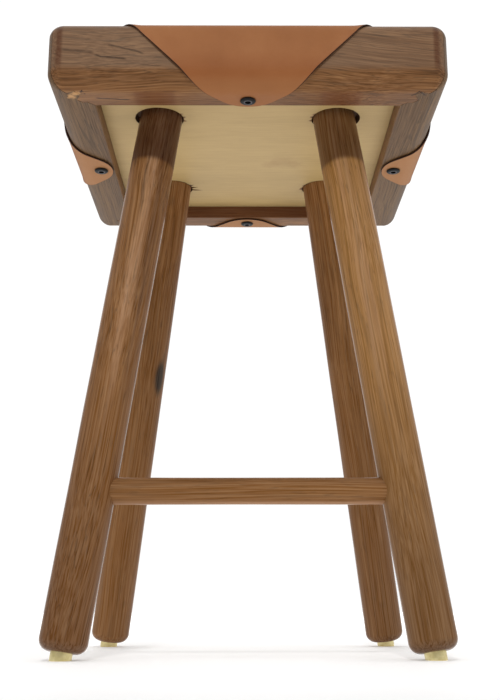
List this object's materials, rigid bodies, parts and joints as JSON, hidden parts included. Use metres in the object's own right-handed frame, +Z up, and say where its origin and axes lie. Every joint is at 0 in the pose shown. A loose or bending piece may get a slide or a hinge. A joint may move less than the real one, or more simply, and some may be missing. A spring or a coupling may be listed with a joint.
{
  "type": "stool",
  "caption": "Square walnut stool with splayed round legs, one front stretcher, brass foot pins and a diamond-laid leather cover screwed under the rails.",
  "frame": {"origin": "on the floor under the centre of the square seat", "axes": "+X to the right seen from the front (stretcher) side, +Y to the rear, +Z up"},
  "size_m": [0.3104, 0.3104, 0.4717],
  "materials": {
    "rail_wood": "oiled walnut, satin, grain along each rail",
    "leg_wood": "oiled walnut, satin, straight lengthwise grain",
    "plywood": "pale birch plywood, matte",
    "inner_wood": "plain beech, unfinished",
    "leather": "vegetable-tanned tan leather, dark burnished edges",
    "foot_brass": "satin brass",
    "black_screw": "black oxide steel, satin"
  },
  "bodies": {
    "root": {"front_rail": "rail_wood", "rear_rail": "rail_wood", "left_rail": "rail_wood", "right_rail": "rail_wood", "underside_panel": "plywood", "seat_deck": "plywood", "left_leg_batten": "inner_wood", "right_leg_batten": "inner_wood", "front_left_leg": "leg_wood", "front_right_leg": "leg_wood", "rear_left_leg": "leg_wood", "rear_right_leg": "leg_wood", "front_stretcher": "leg_wood", "front_left_tenon_wedge": "inner_wood", "front_right_tenon_wedge": "inner_wood", "rear_left_tenon_wedge": "inner_wood", "rear_right_tenon_wedge": "inner_wood", "front_left_foot_pin": "foot_brass", "front_right_foot_pin": "foot_brass", "rear_left_foot_pin": "foot_brass", "rear_right_foot_pin": "foot_brass", "leather_cover": "leather", "front_cover_screw": "black_screw", "rear_cover_screw": "black_screw", "left_cover_screw": "black_screw", "right_cover_screw": "black_screw"}
  },
  "joints": []
}
